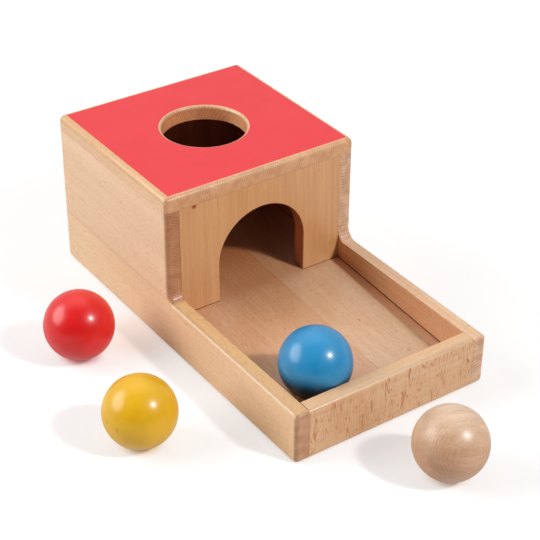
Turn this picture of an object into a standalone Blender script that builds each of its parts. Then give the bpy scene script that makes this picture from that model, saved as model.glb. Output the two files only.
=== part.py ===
"""A beech ball-drop box with a tray and four wooden balls.

A ball pushed through the hole in the painted top falls onto a sloping floor, rolls out through
the arch and stops in the tray. Metres, +Z up. The tray's front wall faces -Y, and the origin is
the middle of that wall's underside, on the table.
"""

import math

import bmesh
import bpy

# Outer sizes
WIDTH = 0.1425
LENGTH = 0.2725
HEIGHT = 0.1095
TRAY_LENGTH = 0.1378  # from the front of the toy back to the face of the box
TRAY_HEIGHT = 0.0352

# Boards
SIDE_THICKNESS = 0.010
FRONT_WALL_THICKNESS = 0.010
ARCH_PANEL_THICKNESS = 0.010
BACK_PANEL_THICKNESS = 0.010
TOP_THICKNESS = 0.010
FLOOR_THICKNESS = 0.006

# The floor falls towards the tray and lies in grooves in the two sides
FLOOR_SLOPE = math.radians(3.65)
FLOOR_FRONT_HEIGHT = 0.0138  # of its upper face, where it meets the front wall
FLOOR_GROOVE_DEPTH = 0.003

# Balls, and the room they have in the hole and under the arch
BALL_DIAMETER = 0.045
HOLE_CLEARANCE = 0.0055
ARCH_SIDE_CLEARANCE = 0.01025
ARCH_HEAD_CLEARANCE = 0.015

# Where the balls are: the blue one lies in the tray, the others stand on the table
BLUE_BALL_WALL_GAP = 0.0049  # to the left side of the tray
RED_BALL_STANDOFF = 0.0269  # to the outer face of the left side
RED_BALL_ALONG = 0.1646  # behind the front of the toy
YELLOW_BALL_STANDOFF = 0.0397
YELLOW_BALL_ALONG = 0.0683
NATURAL_BALL_STANDOFF = 0.0327  # to the front of the toy
NATURAL_BALL_ACROSS = -0.0028

# Rounded edges
EDGE_ROUND = 0.003
TOP_ROUND = 0.004  # around the painted field
HOLE_ROUND = 0.002  # rim of the hole
INNER_EASE = 0.0005  # edges that are only sanded off
NOTCH_FILLET = 0.007

# Dowels in the glued corner joints
DOWEL_DIAMETER = 0.005
DOWEL_LENGTH = 0.020
DOWEL_FACE_DEPTH = 0.006  # how far a dowel goes into the face of a board
DOWEL_MARGIN = 0.010  # from the end of a joint to the middle of its first dowel
DOWEL_CHAMFER = 0.0006

# Fits
GLUE_GAP = 0.0001
GROOVE_FIT = 0.0002
DOWEL_FIT = 0.0001
DOWEL_END_GAP = 0.0005
REST_GAP = 0.0002  # under and in front of the ball in the tray

# Smoothness of round shapes
ROUND_STEPS = 4
FILLET_STEPS = 8
ARCH_STEPS = 32
HOLE_STEPS = 64
DOWEL_STEPS = 16
BALL_SEGMENTS = 40
BALL_RINGS = 20
CREASE_ANGLE = math.radians(35)  # edges that turn further stay crisp
SAME_PLACE = 0.000001  # points nearer than this are one point

# Places that follow from the sizes
FRONT = -FRONT_WALL_THICKNESS / 2
BACK = FRONT + LENGTH
NOTCH = FRONT + TRAY_LENGTH
TRAY_FRONT = FRONT + FRONT_WALL_THICKNESS
SIDE_HEIGHT = HEIGHT - TOP_THICKNESS - GLUE_GAP
INNER_HALF = WIDTH / 2 - SIDE_THICKNESS
PANEL_HALF = INNER_HALF - GLUE_GAP
BALL_RADIUS = BALL_DIAMETER / 2
HOLE_RADIUS = BALL_RADIUS + HOLE_CLEARANCE
ARCH_HALF = BALL_RADIUS + ARCH_SIDE_CLEARANCE
ARCH_HEIGHT = BALL_DIAMETER + ARCH_HEAD_CLEARANCE

# Colours, and how rough each surface is
BEECH = (0.78, 0.56, 0.35, 1.0)
DOWEL_BEECH = (0.70, 0.50, 0.31, 1.0)
RED = (0.83, 0.10, 0.10, 1.0)
BLUE = (0.03, 0.20, 0.62, 1.0)
YELLOW = (0.90, 0.62, 0.04, 1.0)
LACQUER_ROUGHNESS = 0.4
BARE_ROUGHNESS = 0.7
SATIN_ROUGHNESS = 0.45
GLOSS_ROUGHNESS = 0.2


def floor_height(y):
    """Height of the floor's upper face at y."""
    return FLOOR_FRONT_HEIGHT + (y - TRAY_FRONT) * math.tan(FLOOR_SLOPE)


def clear_scene():
    for old in list(bpy.data.objects):
        bpy.data.objects.remove(old, do_unlink=True)


def new_collection(name):
    made = bpy.data.collections.new(name)
    bpy.context.scene.collection.children.link(made)
    return made


def new_material(name, colour, roughness):
    made = bpy.data.materials.new(name)
    made.use_nodes = True
    shader = made.node_tree.nodes["Principled BSDF"]
    shader.inputs["Base Color"].default_value = colour
    shader.inputs["Roughness"].default_value = roughness
    shader.inputs["Metallic"].default_value = 0.0
    return made


def new_object(name, bm, place, collection):
    """An object whose mesh, given in world coordinates, is kept around its own place."""
    bmesh.ops.translate(bm, verts=bm.verts, vec=[-value for value in place])
    mesh = bpy.data.meshes.new(name)
    bm.to_mesh(mesh)
    bm.free()
    made = bpy.data.objects.new(name, mesh)
    made.location = place
    collection.objects.link(made)
    return made


def swept_outline(name, outline, low, high, collection, roundness=None):
    """An outline in Y and Z swept from x = low to x = high. roundness gives each edge its share
    of the rounding, from its two ends."""
    bm = bmesh.new()
    base = bm.faces.new([bm.verts.new((low, y, z)) for y, z in outline])
    swept = bmesh.ops.extrude_face_region(bm, geom=[base])
    far = [item for item in swept["geom"] if isinstance(item, bmesh.types.BMVert)]
    bmesh.ops.translate(bm, verts=far, vec=(high - low, 0, 0))
    bmesh.ops.recalc_face_normals(bm, faces=bm.faces)
    if roundness:
        weight = bm.edges.layers.float.new("bevel_weight_edge")
        for edge in bm.edges:
            edge[weight] = roundness(*(vert.co.copy() for vert in edge.verts))
    ys = [y for y, _ in outline]
    zs = [z for _, z in outline]
    middle = ((low + high) / 2, (min(ys) + max(ys)) / 2, (min(zs) + max(zs)) / 2)
    return new_object(name, bm, middle, collection)


def rectangle(y_low, y_high, z_low, z_high):
    return [(y_low, z_low), (y_high, z_low), (y_high, z_high), (y_low, z_high)]


def arc(y, z, radius, start, end, steps):
    """Points of a circle around (y, z), from one angle to another, ends included."""
    angles = [start + (end - start) * i / steps for i in range(steps + 1)]
    return [(y + radius * math.cos(a), z + radius * math.sin(a)) for a in angles]


def round_edges(piece, radius):
    bevel = piece.modifiers.new("rounded edges", "BEVEL")
    bevel.limit_method = "WEIGHT"
    bevel.width = radius
    bevel.segments = ROUND_STEPS
    bevel.material = 0


def cut(piece, cutter):
    boolean = piece.modifiers.new(cutter.name, "BOOLEAN")
    boolean.operation = "DIFFERENCE"
    boolean.solver = "MANIFOLD"
    boolean.object = cutter


def make_cutter(piece):
    piece.hide_render = True
    piece.display_type = "WIRE"
    return piece


def finish(piece, *materials):
    for material in materials:
        piece.data.materials.append(material)
    piece.data.shade_smooth()
    piece.data.set_sharp_from_angle(angle=CREASE_ANGLE)
    return piece


def same(value, target):
    return abs(value - target) < SAME_PLACE


def both(a, b, axis, target):
    return same(a[axis], target) and same(b[axis], target)


def side_panel(name, side, parts, beech):
    """One L-shaped side: low along the tray, tall along the box, with a fillet in the notch."""
    outer = side * WIDTH / 2
    inner = side * INNER_HALF
    fillet = arc(
        NOTCH - NOTCH_FILLET, TRAY_HEIGHT + NOTCH_FILLET, NOTCH_FILLET, 0, -math.pi / 2, FILLET_STEPS
    )
    outline = [(FRONT, 0), (BACK, 0), (BACK, SIDE_HEIGHT), (NOTCH, SIDE_HEIGHT)]
    outline += fillet + [(FRONT, TRAY_HEIGHT)]

    def roundness(a, b):
        if both(a, b, 2, SIDE_HEIGHT):
            return 0.0
        if both(a, b, 0, outer):
            return 1.0
        if same(a.y, b.y) and same(a.z, b.z):
            is_end = same(a.y, FRONT) or same(a.y, BACK)
            return 1.0 if is_end and not same(a.z, SIDE_HEIGHT) else 0.0
        before_box = max(a.y, b.y) < NOTCH + SAME_PLACE
        on_rim = before_box and min(a.z, b.z) > TRAY_HEIGHT - SAME_PLACE
        upright = same(a.y, b.y)
        return INNER_EASE / EDGE_ROUND if on_rim and not upright else 0.0

    panel = swept_outline(name, outline, min(outer, inner), max(outer, inner), parts, roundness)
    round_edges(panel, EDGE_ROUND)
    return finish(panel, beech)


def front_wall(parts, beech):
    """The tray's front wall, between the sides, rounded like their ends."""
    outline = rectangle(FRONT, TRAY_FRONT, 0, TRAY_HEIGHT)

    def roundness(a, b):
        if not (same(a.y, b.y) and same(a.z, b.z)):
            return 0.0
        if same(a.y, FRONT):
            return 1.0
        return INNER_EASE / EDGE_ROUND if same(a.z, TRAY_HEIGHT) else 0.0

    wall = swept_outline("tray_front_wall", outline, -PANEL_HALF, PANEL_HALF, parts, roundness)
    round_edges(wall, EDGE_ROUND)
    return finish(wall, beech)


def back_panel(parts, beech):
    """Closes the box behind, between the sides and under the top."""
    outline = rectangle(BACK - BACK_PANEL_THICKNESS, BACK, 0, SIDE_HEIGHT)

    def roundness(a, b):
        return 1.0 if both(a, b, 1, BACK) and both(a, b, 2, 0) else 0.0

    panel = swept_outline("back_panel", outline, -PANEL_HALF, PANEL_HALF, parts, roundness)
    round_edges(panel, EDGE_ROUND)
    return finish(panel, beech)


def arch_panel(parts, cutters, beech):
    """The face of the box. Its foot is cut to the floor's slope, and the arch is open below."""
    near = NOTCH
    far = NOTCH + ARCH_PANEL_THICKNESS
    outline = [
        (near, floor_height(near) + GLUE_GAP),
        (far, floor_height(far) + GLUE_GAP),
        (far, SIDE_HEIGHT),
        (near, SIDE_HEIGHT),
    ]
    panel = swept_outline("arch_panel", outline, -PANEL_HALF, PANEL_HALF, parts)
    spring = floor_height(near) + ARCH_HEIGHT - ARCH_HALF
    opening = arc(0, spring, ARCH_HALF, 0, math.pi, ARCH_STEPS)
    opening += [(-ARCH_HALF, 0), (ARCH_HALF, 0)]
    cutter = swept_outline(
        "arch_cutter", opening, -ARCH_PANEL_THICKNESS, ARCH_PANEL_THICKNESS, cutters
    )
    cutter.rotation_euler = (0, 0, math.pi / 2)
    cutter.location.y = (near + far) / 2
    cut(panel, make_cutter(cutter))
    return finish(panel, beech)


def floor_outline(grow):
    """The floor seen from the side, made larger all round by grow."""
    drop = FLOOR_THICKNESS / math.cos(FLOOR_SLOPE)
    near = TRAY_FRONT + GLUE_GAP - grow
    far = BACK - BACK_PANEL_THICKNESS - GLUE_GAP + grow
    return [
        (near, floor_height(near) - drop - grow),
        (far, floor_height(far) - drop - grow),
        (far, floor_height(far) + grow),
        (near, floor_height(near) + grow),
    ]


def floor_board(sides, parts, cutters, beech):
    """The sloping floor under tray and box, and the stopped grooves it lies in."""
    half = INNER_HALF + FLOOR_GROOVE_DEPTH
    groove = swept_outline("floor_groove_cutter", floor_outline(GROOVE_FIT), -half, half, cutters)
    make_cutter(groove)
    for side in sides:
        cut(side, groove)
    reach = half - GROOVE_FIT
    board = swept_outline("floor_board", floor_outline(0), -reach, reach, parts)
    return finish(board, beech)


def hole_cutter(centre_y, cutters):
    """A turned cutter for the drop hole, flared at the top to leave a rounded rim."""
    top = HEIGHT
    bottom = HEIGHT - TOP_THICKNESS
    lip = HOLE_RADIUS + HOLE_ROUND
    rim = arc(lip, top - HOLE_ROUND, HOLE_ROUND, math.pi / 2, math.pi, 2 * ROUND_STEPS)
    profile = [(0, top + TOP_THICKNESS), (lip, top + TOP_THICKNESS)] + rim
    profile += [(HOLE_RADIUS, bottom - TOP_THICKNESS), (0, bottom - TOP_THICKNESS)]
    bm = bmesh.new()
    points = [bm.verts.new((x, 0, z)) for x, z in profile]
    for a, b in zip(points, points[1:]):
        bm.edges.new((a, b))
    cutter = new_object("hole_cutter", bm, (0, 0, bottom), cutters)
    cutter.location.y = centre_y
    screw = cutter.modifiers.new("turned", "SCREW")
    screw.steps = HOLE_STEPS
    screw.render_steps = HOLE_STEPS
    screw.use_merge_vertices = True
    screw.merge_threshold = SAME_PLACE
    return make_cutter(cutter)


def top_board(parts, cutters, red, beech):
    """The top, over the sides and panels: painted on its flat, bare on every rounded edge."""
    outline = rectangle(NOTCH, BACK, HEIGHT - TOP_THICKNESS, HEIGHT)

    def roundness(a, b):
        if both(a, b, 2, HEIGHT):
            return 1.0
        upright = same(a.x, b.x) and same(a.y, b.y)
        return EDGE_ROUND / TOP_ROUND if upright else 0.0

    board = swept_outline("top_board", outline, -WIDTH / 2, WIDTH / 2, parts, roundness)
    finish(board, beech, red)
    for face in board.data.polygons:
        face.material_index = 1 if face.normal.z > math.cos(CREASE_ANGLE) else 0
    round_edges(board, TOP_ROUND)
    cut(board, hole_cutter((NOTCH + BACK) / 2, cutters))
    return board


def rod(name, place, along, radius, length, collection):
    """A round rod centred on place, along X or Z."""
    bm = bmesh.new()
    bmesh.ops.create_cone(
        bm, cap_ends=True, segments=DOWEL_STEPS, radius1=radius, radius2=radius, depth=length
    )
    made = new_object(name, bm, (0, 0, 0), collection)
    made.location = place
    if along == "X":
        made.rotation_euler = (0, math.pi / 2, 0)
    return made


def dowel(name, place, along, boards, parts, cutters, beech):
    """A dowel centred on place, with a blind hole for it in each of the boards it joins."""
    radius = DOWEL_DIAMETER / 2
    pin = rod(name, place, along, radius, DOWEL_LENGTH, parts)
    chamfer = pin.modifiers.new("chamfered ends", "BEVEL")
    chamfer.width = DOWEL_CHAMFER
    chamfer.segments = 1
    chamfer.limit_method = "ANGLE"
    chamfer.angle_limit = CREASE_ANGLE
    hole_length = DOWEL_LENGTH + 2 * DOWEL_END_GAP
    hole = rod(name + "_hole", place, along, radius + DOWEL_FIT, hole_length, cutters)
    make_cutter(hole)
    for board in boards:
        cut(board, hole)
    return finish(pin, beech)


def cross_dowels(name, board, sides, y, heights, parts, cutters, beech):
    """Dowels along X through both ends of a board into the two sides."""
    reach = INNER_HALF + DOWEL_FACE_DEPTH - DOWEL_LENGTH / 2
    made = []
    for word, direction, side in zip(("left", "right"), (-1, 1), sides):
        for number, z in enumerate(heights, start=1):
            place = (direction * reach, y, z)
            pin = dowel(f"{name}_dowel_{word}_{number}", place, "X", (board, side), parts, cutters, beech)
            made.append(pin)
    return made


def top_dowels(board, sides, parts, cutters, beech):
    """Upright dowels from the top edges of the sides into the top board."""
    z = HEIGHT - TOP_THICKNESS + DOWEL_FACE_DEPTH - DOWEL_LENGTH / 2
    first = NOTCH + ARCH_PANEL_THICKNESS + DOWEL_MARGIN
    last = BACK - BACK_PANEL_THICKNESS - DOWEL_MARGIN
    middle_x = WIDTH / 2 - SIDE_THICKNESS / 2
    made = []
    for word, direction, side in zip(("left", "right"), (-1, 1), sides):
        for number, y in enumerate((first, (first + last) / 2, last), start=1):
            place = (direction * middle_x, y, z)
            pin = dowel(f"top_dowel_{word}_{number}", place, "Z", (board, side), parts, cutters, beech)
            made.append(pin)
    return made


def ball(name, place, parts, material):
    bm = bmesh.new()
    bmesh.ops.create_uvsphere(
        bm, u_segments=BALL_SEGMENTS, v_segments=BALL_RINGS, radius=BALL_RADIUS
    )
    made = new_object(name, bm, (0, 0, 0), parts)
    made.location = place
    return finish(made, material)


def balls(parts, natural):
    """The blue ball lies on the floor against the front wall; the others stand on the table."""
    blue_y = TRAY_FRONT + BALL_RADIUS + REST_GAP
    blue_z = floor_height(blue_y) + (BALL_RADIUS + REST_GAP) / math.cos(FLOOR_SLOPE)
    blue_x = -INNER_HALF + BLUE_BALL_WALL_GAP + BALL_RADIUS
    left_of_toy = -WIDTH / 2 - BALL_RADIUS
    red_place = (left_of_toy - RED_BALL_STANDOFF, FRONT + RED_BALL_ALONG, BALL_RADIUS)
    yellow_place = (left_of_toy - YELLOW_BALL_STANDOFF, FRONT + YELLOW_BALL_ALONG, BALL_RADIUS)
    natural_place = (NATURAL_BALL_ACROSS, FRONT - NATURAL_BALL_STANDOFF - BALL_RADIUS, BALL_RADIUS)
    blue = new_material("blue gloss paint", BLUE, GLOSS_ROUGHNESS)
    red = new_material("red gloss paint", RED, GLOSS_ROUGHNESS)
    yellow = new_material("yellow gloss paint", YELLOW, GLOSS_ROUGHNESS)
    return [
        ball("blue_ball", (blue_x, blue_y, blue_z), parts, blue),
        ball("red_ball", red_place, parts, red),
        ball("yellow_ball", yellow_place, parts, yellow),
        ball("natural_ball", natural_place, parts, natural),
    ]


def main():
    clear_scene()
    parts = new_collection("ball_drop_box")
    cutters = new_collection("cutters")
    cutters.hide_render = True
    beech = new_material("lacquered beech", BEECH, LACQUER_ROUGHNESS)
    dowel_beech = new_material("dowel beech", DOWEL_BEECH, BARE_ROUGHNESS)
    red = new_material("red satin paint", RED, SATIN_ROUGHNESS)

    left = side_panel("side_panel_left", -1, parts, beech)
    right = side_panel("side_panel_right", 1, parts, beech)
    sides = (left, right)
    wall = front_wall(parts, beech)
    arch = arch_panel(parts, cutters, beech)
    back = back_panel(parts, beech)
    floor = floor_board(sides, parts, cutters, beech)
    top = top_board(parts, cutters, red, beech)

    wall_heights = (DOWEL_MARGIN, TRAY_HEIGHT - DOWEL_MARGIN)
    arch_y = NOTCH + ARCH_PANEL_THICKNESS / 2
    arch_heights = (floor_height(NOTCH + ARCH_PANEL_THICKNESS) + DOWEL_MARGIN, SIDE_HEIGHT - DOWEL_MARGIN)
    back_heights = (DOWEL_MARGIN, SIDE_HEIGHT - DOWEL_MARGIN)
    back_y = BACK - BACK_PANEL_THICKNESS / 2
    wall_y = FRONT + FRONT_WALL_THICKNESS / 2
    pins = cross_dowels("front_wall", wall, sides, wall_y, wall_heights, parts, cutters, dowel_beech)
    pins += cross_dowels("arch_panel", arch, sides, arch_y, arch_heights, parts, cutters, dowel_beech)
    pins += cross_dowels("back_panel", back, sides, back_y, back_heights, parts, cutters, dowel_beech)
    pins += top_dowels(top, sides, parts, cutters, dowel_beech)

    toy = bpy.data.objects.new("ball_drop_box_origin", None)
    parts.objects.link(toy)
    for piece in [left, right, wall, arch, back, floor, top] + pins + balls(parts, beech):
        piece.parent = toy


main()
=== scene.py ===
"""Looks of the beech ball-drop box: rounded boards, turned balls, wood and paint, studio light."""

import math

import bmesh
import bpy
from mathutils import Matrix, Vector

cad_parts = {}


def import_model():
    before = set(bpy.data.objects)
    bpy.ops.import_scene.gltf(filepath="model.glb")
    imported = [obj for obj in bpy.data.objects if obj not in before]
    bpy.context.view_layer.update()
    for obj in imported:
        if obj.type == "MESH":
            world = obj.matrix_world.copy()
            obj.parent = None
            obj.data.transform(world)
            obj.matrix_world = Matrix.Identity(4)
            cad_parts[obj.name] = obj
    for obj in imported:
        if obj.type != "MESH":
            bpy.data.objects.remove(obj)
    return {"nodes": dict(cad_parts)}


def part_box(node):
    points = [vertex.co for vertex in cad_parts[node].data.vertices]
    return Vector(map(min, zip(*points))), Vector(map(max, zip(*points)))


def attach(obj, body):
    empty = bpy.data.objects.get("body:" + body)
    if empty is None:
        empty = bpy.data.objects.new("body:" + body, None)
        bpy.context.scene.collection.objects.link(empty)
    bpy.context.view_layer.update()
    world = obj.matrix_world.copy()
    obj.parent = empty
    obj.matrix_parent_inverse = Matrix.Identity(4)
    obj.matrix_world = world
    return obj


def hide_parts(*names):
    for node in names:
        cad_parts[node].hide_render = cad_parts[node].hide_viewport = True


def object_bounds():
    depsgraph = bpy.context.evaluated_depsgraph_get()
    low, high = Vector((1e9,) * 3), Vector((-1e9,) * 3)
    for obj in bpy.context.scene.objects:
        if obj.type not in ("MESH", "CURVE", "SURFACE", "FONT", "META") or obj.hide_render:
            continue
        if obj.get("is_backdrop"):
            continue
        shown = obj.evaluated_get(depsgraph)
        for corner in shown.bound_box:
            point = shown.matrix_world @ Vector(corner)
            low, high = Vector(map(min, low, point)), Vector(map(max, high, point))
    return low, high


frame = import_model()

CAD_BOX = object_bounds()
BOX = "box_and_tray"

# Places of the boards, in metres, from the frame
SIDE_LOW, SIDE_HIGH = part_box("side_panel_left")
RIGHT_LOW, RIGHT_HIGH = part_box("side_panel_right")
TOP_LOW, TOP_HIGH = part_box("top_board")
WALL_LOW, WALL_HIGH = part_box("tray_front_wall")
ARCH_LOW, ARCH_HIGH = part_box("arch_panel")
BACK_LOW, BACK_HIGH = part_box("back_panel")
FLOOR_LOW, FLOOR_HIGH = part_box("floor_board")
FRONT = SIDE_LOW.y
BACK = SIDE_HIGH.y
NOTCH = TOP_LOW.y
TRAY_HEIGHT = WALL_HIGH.z
SIDE_HEIGHT = SIDE_HIGH.z

# Sizes that the boards' boxes don't give
EDGE_ROUND = 0.003
TOP_ROUND = 0.004
HOLE_ROUND = 0.002
INNER_EASE = 0.0005
NOTCH_FILLET = 0.007
HOLE_RADIUS = 0.028
ARCH_HALF = 0.03275
ARCH_HEIGHT = 0.060
FLOOR_SLOPE = math.radians(3.65)
FLOOR_THICKNESS = 0.006
GLUE_GAP = 0.0004
GROOVE_FIT = 0.0009
DOWEL_FIT = 0.0001
DOWEL_END_GAP = 0.0005
LATHE_FLAT = math.radians(3.2)  # half the angle of the flat at a ball's pole

# How finely things are drawn
ROUND_STEPS = 8
EASE_STEPS = 3
FILLET_STEPS = 24
ARCH_STEPS = 96
HOLE_STEPS = 128
DOWEL_STEPS = 24
BALL_STEPS = 112
CREASE_ANGLE = math.radians(35)
AREA_WEIGHT = 100  # large faces rule the shading
SAME_PLACE = 1e-6


def floor_height(y):
    """Height of the sloping floor's upper face."""
    return FLOOR_HIGH.z - (FLOOR_HIGH.y - y) * math.tan(FLOOR_SLOPE)


# Meshes

def new_piece(name, bm):
    mesh = bpy.data.meshes.new(name)
    bm.to_mesh(mesh)
    bm.free()
    made = bpy.data.objects.new(name, mesh)
    bpy.context.scene.collection.objects.link(made)
    return made


def swept(name, outline, low, high, roundness=None):
    """An outline in Y and Z swept along X; roundness gives each edge its share of a later bevel."""
    bm = bmesh.new()
    base = bm.faces.new([bm.verts.new((low, y, z)) for y, z in outline])
    pulled = bmesh.ops.extrude_face_region(bm, geom=[base])
    far = [item for item in pulled["geom"] if isinstance(item, bmesh.types.BMVert)]
    bmesh.ops.translate(bm, verts=far, vec=(high - low, 0, 0))
    bmesh.ops.recalc_face_normals(bm, faces=bm.faces)
    if roundness:
        weight = bm.edges.layers.float.new("bevel_weight_edge")
        for edge in bm.edges:
            edge[weight] = roundness(*(vert.co.copy() for vert in edge.verts))
    return new_piece(name, bm)


def rectangle(y_low, y_high, z_low, z_high):
    return [(y_low, z_low), (y_high, z_low), (y_high, z_high), (y_low, z_high)]


def arc(y, z, radius, start, end, steps):
    angles = [start + (end - start) * i / steps for i in range(steps + 1)]
    return [(y + radius * math.cos(a), z + radius * math.sin(a)) for a in angles]


def same(value, target):
    return abs(value - target) < SAME_PLACE


def both(a, b, axis, target):
    """Whether both ends of an edge lie at a place on an axis."""
    return same(a[axis], target) and same(b[axis], target)


def round_edges(piece, radius, steps=ROUND_STEPS):
    bevel = piece.modifiers.new("rounded edges", "BEVEL")
    bevel.limit_method = "WEIGHT"
    bevel.width = radius
    bevel.segments = steps


def ease_edges(piece, radius):
    """A small round on every sharp edge."""
    bevel = piece.modifiers.new("eased edges", "BEVEL")
    bevel.limit_method = "ANGLE"
    bevel.angle_limit = CREASE_ANGLE
    bevel.width = radius
    bevel.segments = EASE_STEPS


def cut(piece, cutter):
    boolean = piece.modifiers.new(cutter.name, "BOOLEAN")
    boolean.operation = "DIFFERENCE"
    boolean.solver = "MANIFOLD"
    boolean.object = cutter


def apply_modifiers(piece):
    graph = bpy.context.evaluated_depsgraph_get()
    final = bpy.data.meshes.new_from_object(piece.evaluated_get(graph), depsgraph=graph)
    final.name = piece.name
    piece.modifiers.clear()
    piece.data = final


def settle(piece):
    """Applies the modifiers, and shades the flats flat and the rounds smooth."""
    apply_modifiers(piece)
    piece.data.shade_smooth()
    piece.data.set_sharp_from_angle(angle=CREASE_ANGLE)
    weighted = piece.modifiers.new("flat faces stay flat", "WEIGHTED_NORMAL")
    weighted.weight = AREA_WEIGHT
    weighted.keep_sharp = True
    apply_modifiers(piece)


def dowel_hole_cutter():
    """One mesh with a rod around every dowel of the frame."""
    bm = bmesh.new()
    for name in frame["nodes"]:
        if "_dowel_" not in name:
            continue
        low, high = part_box(name)
        size = high - low
        along = max(range(3), key=lambda axis: size[axis])
        turn = Matrix.Rotation(math.pi / 2, 4, "Y") if along == 0 else Matrix.Identity(4)
        radius = min(size) / 2 + DOWEL_FIT
        place = Matrix.Translation((low + high) / 2) @ turn
        bmesh.ops.create_cone(
            bm, cap_ends=True, segments=DOWEL_STEPS, radius1=radius, radius2=radius,
            depth=size[along] + 2 * DOWEL_END_GAP, matrix=place,
        )
    return new_piece("dowel_holes", bm)


def floor_outline(grow):
    """The floor board in Y and Z, larger by grow all round."""
    drop = FLOOR_THICKNESS / math.cos(FLOOR_SLOPE)
    near = FLOOR_LOW.y - grow
    far = FLOOR_HIGH.y + grow
    return [
        (near, floor_height(near) - drop - grow),
        (far, floor_height(far) - drop - grow),
        (far, floor_height(far) + grow),
        (near, floor_height(near) + grow),
    ]


def side_piece(name, low, high, outer):
    """An L-shaped side; outer is the X of its outer face, whose edges are rounded."""
    fillet = arc(
        NOTCH - NOTCH_FILLET, TRAY_HEIGHT + NOTCH_FILLET, NOTCH_FILLET, 0, -math.pi / 2, FILLET_STEPS
    )
    outline = [(FRONT, 0), (BACK, 0), (BACK, SIDE_HEIGHT), (NOTCH, SIDE_HEIGHT)]
    outline += fillet + [(FRONT, TRAY_HEIGHT)]

    def roundness(a, b):
        if both(a, b, 2, SIDE_HEIGHT):
            return 0.0
        if both(a, b, 0, outer):
            return 1.0
        if same(a.y, b.y) and same(a.z, b.z):
            is_end = same(a.y, FRONT) or same(a.y, BACK)
            return 1.0 if is_end and not same(a.z, SIDE_HEIGHT) else 0.0
        before_box = max(a.y, b.y) < NOTCH + SAME_PLACE
        on_rim = before_box and min(a.z, b.z) > TRAY_HEIGHT - SAME_PLACE
        return INNER_EASE / EDGE_ROUND if on_rim and not same(a.y, b.y) else 0.0

    piece = swept(name, outline, low, high, roundness)
    round_edges(piece, EDGE_ROUND)
    return piece


def wall_piece():
    outline = rectangle(WALL_LOW.y, WALL_HIGH.y, 0, TRAY_HEIGHT)

    def roundness(a, b):
        if not (same(a.y, b.y) and same(a.z, b.z)):
            return 0.0
        if same(a.y, WALL_LOW.y):
            return 1.0
        return INNER_EASE / EDGE_ROUND if same(a.z, TRAY_HEIGHT) else 0.0

    piece = swept("tray_front_wall_visual", outline, WALL_LOW.x, WALL_HIGH.x, roundness)
    round_edges(piece, EDGE_ROUND)
    return piece


def back_piece():
    outline = rectangle(BACK_LOW.y, BACK_HIGH.y, 0, SIDE_HEIGHT)

    def roundness(a, b):
        return 1.0 if both(a, b, 1, BACK_HIGH.y) and both(a, b, 2, 0) else 0.0

    piece = swept("back_panel_visual", outline, BACK_LOW.x, BACK_HIGH.x, roundness)
    round_edges(piece, EDGE_ROUND)
    return piece


def arch_piece(cutters):
    near = ARCH_LOW.y
    far = ARCH_HIGH.y
    outline = [
        (near, floor_height(near) + GLUE_GAP),
        (far, floor_height(far) + GLUE_GAP),
        (far, SIDE_HEIGHT),
        (near, SIDE_HEIGHT),
    ]
    piece = swept("arch_panel_visual", outline, ARCH_LOW.x, ARCH_HIGH.x)
    spring = floor_height(near) + ARCH_HEIGHT - ARCH_HALF
    opening = arc(0, spring, ARCH_HALF, 0, math.pi, ARCH_STEPS)
    opening += [(-ARCH_HALF, 0), (ARCH_HALF, 0)]
    depth = far - near
    cutter = swept("arch_opening", opening, -depth, depth)
    cutter.matrix_world = Matrix.Translation((0, (near + far) / 2, 0)) @ Matrix.Rotation(math.pi / 2, 4, "Z")
    cutters.append(cutter)
    cut(piece, cutter)
    bpy.context.view_layer.update()
    apply_modifiers(piece)
    mesh = piece.data
    weight = mesh.attributes.new("bevel_weight_edge", "FLOAT", "EDGE")

    def on_arch(point):
        above = max(point.z - spring, 0.0)
        return same(math.hypot(point.x, above), ARCH_HALF)

    for edge in mesh.edges:
        a, b = (mesh.vertices[index].co for index in edge.vertices)
        if on_arch(a) and on_arch(b) and same(a.y, b.y):
            weight.data[edge.index].value = 1.0
    round_edges(piece, INNER_EASE, EASE_STEPS)
    return piece


def floor_piece():
    piece = swept("floor_board_visual", floor_outline(0), FLOOR_LOW.x, FLOOR_HIGH.x)
    ease_edges(piece, INNER_EASE)
    return piece


def hole_cutter():
    """The drop hole with its turned rim, as a solid."""
    top = TOP_HIGH.z
    depth = TOP_HIGH.z - TOP_LOW.z
    lip = HOLE_RADIUS + HOLE_ROUND
    rim = arc(lip, top - HOLE_ROUND, HOLE_ROUND, math.pi / 2, math.pi, 2 * ROUND_STEPS)
    profile = [(0, top + depth), (lip, top + depth)] + rim
    profile += [(HOLE_RADIUS, TOP_LOW.z - depth), (0, TOP_LOW.z - depth)]
    bm = bmesh.new()
    points = [bm.verts.new((x, 0, z)) for x, z in profile]
    for a, b in zip(points, points[1:]):
        bm.edges.new((a, b))
    cutter = new_piece("drop_hole", bm)
    cutter.location.y = (TOP_LOW.y + TOP_HIGH.y) / 2
    screw = cutter.modifiers.new("turned", "SCREW")
    screw.steps = HOLE_STEPS
    screw.render_steps = HOLE_STEPS
    screw.use_merge_vertices = True
    screw.merge_threshold = SAME_PLACE
    return cutter


def top_piece(cutters):
    outline = rectangle(TOP_LOW.y, TOP_HIGH.y, TOP_LOW.z, TOP_HIGH.z)

    def roundness(a, b):
        if both(a, b, 2, TOP_HIGH.z):
            return 1.0
        upright = same(a.x, b.x) and same(a.y, b.y)
        return EDGE_ROUND / TOP_ROUND if upright else 0.0

    piece = swept("top_board_visual", outline, TOP_LOW.x, TOP_HIGH.x, roundness)
    round_edges(piece, TOP_ROUND)
    cutter = hole_cutter()
    cutters.append(cutter)
    cut(piece, cutter)
    return piece


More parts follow.
